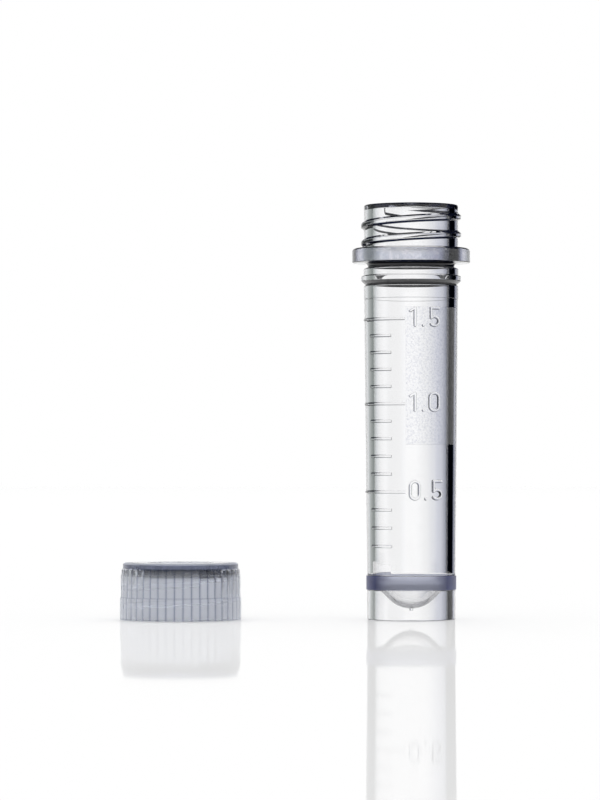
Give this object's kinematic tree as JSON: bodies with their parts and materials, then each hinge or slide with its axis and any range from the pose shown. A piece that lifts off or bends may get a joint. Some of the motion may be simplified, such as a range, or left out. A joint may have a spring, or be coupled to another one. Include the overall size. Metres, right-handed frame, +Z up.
{
  "type": "self-standing screw-cap cryovial",
  "caption": "Clear plastic cryovial on an open foot, with an outside thread, raised graduations and a marking panel, and its ribbed screw cap with a rubber sealing ring set down beside it.",
  "frame": {"origin": "centre of the edge that the tube stands on, on the tube's axis", "axes": "+Z up along the tube's axis; the graduations and numbers face -Y; the cap that was taken off stands on its open end at -X"},
  "size_m": [0.0387, 0.0134, 0.0458],
  "materials": {
    "clear_polypropylene": "clear moulded polypropylene, glossy, with a finely frosted marking panel",
    "cap_polypropylene": "translucent natural moulded polypropylene, satin",
    "ring_rubber": "smooth dark rubber"
  },
  "bodies": {
    "tube": {"tube": "clear_polypropylene"},
    "cap": {"cap": "cap_polypropylene", "seal_ring": "ring_rubber"}
  },
  "joints": [
    {"name": "cap_lift", "type": "slide", "parent": "tube", "child": "cap", "axis": [0, 0, 1], "range_m": [0, 0.06]}
  ]
}
